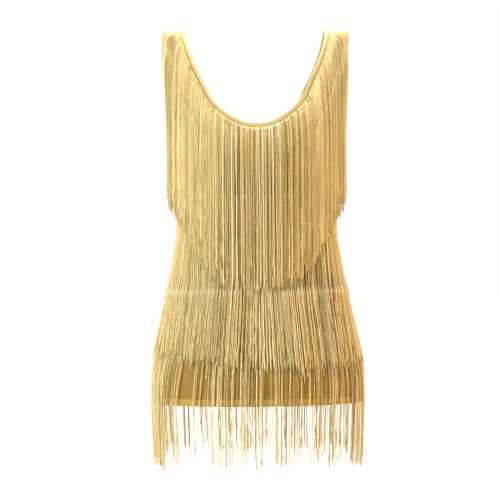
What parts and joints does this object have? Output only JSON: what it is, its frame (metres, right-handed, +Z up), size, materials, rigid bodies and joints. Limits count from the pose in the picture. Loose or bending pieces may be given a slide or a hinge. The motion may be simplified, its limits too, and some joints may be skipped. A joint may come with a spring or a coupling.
{
  "type": "fringe dress",
  "caption": "Short fitted sleeveless dress in gold knit with a deep round neck and tiers of long chainette fringe, filled out as when worn.",
  "frame": {"origin": "midway between the tops of the two shoulder seams, where the wearer's shoulders hold the dress", "axes": "+Z up along the body, -Y the way the front faces, +X to the wearer's left"},
  "size_m": [0.3708, 0.2422, 0.7564],
  "materials": {
    "knit": "ochre gold fitted knit with a slight metallic thread",
    "binding": "smooth light gold binding with a soft sheen",
    "fringe": "light gold chainette fringe with a satin sheen"
  },
  "bodies": {
    "root": {"front_panel": "knit", "back_panel": "knit", "neck_binding": "binding", "armhole_binding_left": "binding", "armhole_binding_right": "binding", "fringe_1_front": "fringe", "fringe_1_back": "fringe", "fringe_2_front": "fringe", "fringe_2_back": "fringe", "fringe_3_front": "fringe", "fringe_3_back": "fringe"}
  },
  "joints": []
}
